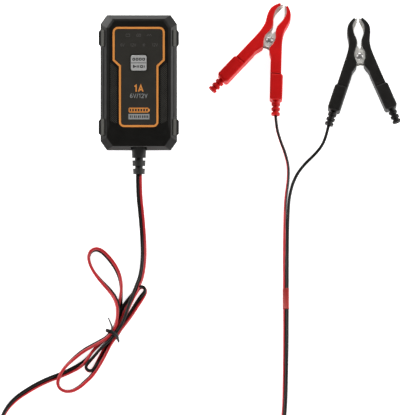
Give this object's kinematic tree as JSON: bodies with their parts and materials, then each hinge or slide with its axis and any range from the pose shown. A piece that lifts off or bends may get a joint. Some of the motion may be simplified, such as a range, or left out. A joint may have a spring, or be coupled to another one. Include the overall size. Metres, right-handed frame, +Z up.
{
  "type": "car battery charger",
  "caption": "Plug-in car battery charger with mode button, tied twin lead and two sprung crocodile clips.",
  "frame": {"origin": "on the surface it stands on, under the middle of the charger without its lead", "axes": "+Z up, +Y away from the lead's exit towards the charger's top end, +X to the right of its face"},
  "size_m": [0.3237, 0.4246, 0.0676],
  "materials": {
    "case_black": "fine spark texture",
    "bumper_black": "matte soft moulding",
    "accent_orange": "satin",
    "panel_grey": "satin",
    "button_grey": "satin",
    "switch_plastic": "matte",
    "board_green": "solder mask",
    "bright_steel": "zinc plated",
    "ferrite": "sintered",
    "winding_tape": "polyester tape",
    "capacitor_sleeve": "shrink sleeve",
    "heatsink_aluminium": "extruded",
    "chip_black": "epoxy",
    "fuse_glass": "clear",
    "led_clear": "frosted clear",
    "carrier_black": "smooth",
    "pin_brass": "nickel flash",
    "sleeve_black": "smooth",
    "gland_rubber": "soft moulding",
    "label_silver": "blank satin foil",
    "core_red": "soft vinyl",
    "core_black": "soft vinyl",
    "tie_black": "plastic-coated wire",
    "shrink_red": "heat-shrink tube",
    "clip_red": "soft vinyl dip",
    "clip_black": "soft vinyl dip",
    "nickel_steel": "nickel plated",
    "spring_steel": "bright drawn"
  },
  "bodies": {
    "charger": {"front_cover": "case_black", "rear_cover": "case_black", "bumper_lower_left": "bumper_black", "bumper_upper_left": "bumper_black", "bumper_lower_right": "bumper_black", "bumper_upper_right": "bumper_black", "accent_ring": "accent_orange", "front_panel": "panel_grey", "tactile_switch": "switch_plastic", "main_pcb": "board_green", "pcb_screws": "bright_steel", "transformer_core": "ferrite", "transformer_winding": "winding_tape", "mains_capacitor": "capacitor_sleeve", "output_capacitor": "capacitor_sleeve", "heatsink": "heatsink_aluminium", "power_transistor": "chip_black", "controller_chip": "chip_black", "fuse": "fuse_glass", "status_leds": "led_clear", "light_guide": "led_clear", "pin_carrier": "carrier_black", "live_pin": "pin_brass", "neutral_pin": "pin_brass", "earth_pin": "carrier_black", "pin_sleeves": "sleeve_black", "mains_contacts": "pin_brass", "case_screws": "bright_steel", "cable_gland": "gland_rubber", "output_tails": "core_red", "rating_plate": "label_silver", "lead_upper": "core_red", "lead_hank": "core_red", "lead_lower": "core_red", "lead_tie": "tie_black", "marker_sleeve": "shrink_red", "positive_wire": "core_red", "negative_wire": "core_black", "red_clip_jaw_fixed": "nickel_steel", "red_clip_cover_fixed": "clip_red", "red_clip_boot_fixed": "clip_red", "red_clip_rivet": "nickel_steel", "red_clip_spring": "spring_steel", "red_clip_crimp": "nickel_steel", "black_clip_jaw_fixed": "nickel_steel", "black_clip_cover_fixed": "clip_black", "black_clip_boot_fixed": "clip_black", "black_clip_rivet": "nickel_steel", "black_clip_spring": "spring_steel", "black_clip_crimp": "nickel_steel"},
    "button": {"mode_button": "button_grey", "switch_plunger": "switch_plastic"},
    "red_clip_half": {"red_clip_jaw_moving": "nickel_steel", "red_clip_cover_moving": "clip_red", "red_clip_boot_moving": "clip_red"},
    "black_clip_half": {"black_clip_jaw_moving": "nickel_steel", "black_clip_cover_moving": "clip_black", "black_clip_boot_moving": "clip_black"}
  },
  "joints": [
    {"name": "mode_press", "type": "slide", "parent": "charger", "child": "button", "axis": [0, 0.2413, -0.9705], "range_m": [0, 0.0006], "stiffness_N_per_m": 250, "springref_m": -0.001},
    {"name": "red_clip_open", "type": "hinge", "parent": "charger", "child": "red_clip_half", "pos_m": [0.1044, 0.0508, 0.0065], "axis": [0, 0, 1], "range_deg": [0, 34], "stiffness_Nm_per_rad": 0.6, "springref_deg": -51.57, "deforming": ["red_clip_spring"]},
    {"name": "black_clip_open", "type": "hinge", "parent": "charger", "child": "black_clip_half", "pos_m": [0.1772, 0.0374, 0.0065], "axis": [0, 0, -1], "range_deg": [0, 34], "stiffness_Nm_per_rad": 0.6, "springref_deg": -51.57, "deforming": ["black_clip_spring"]}
  ]
}
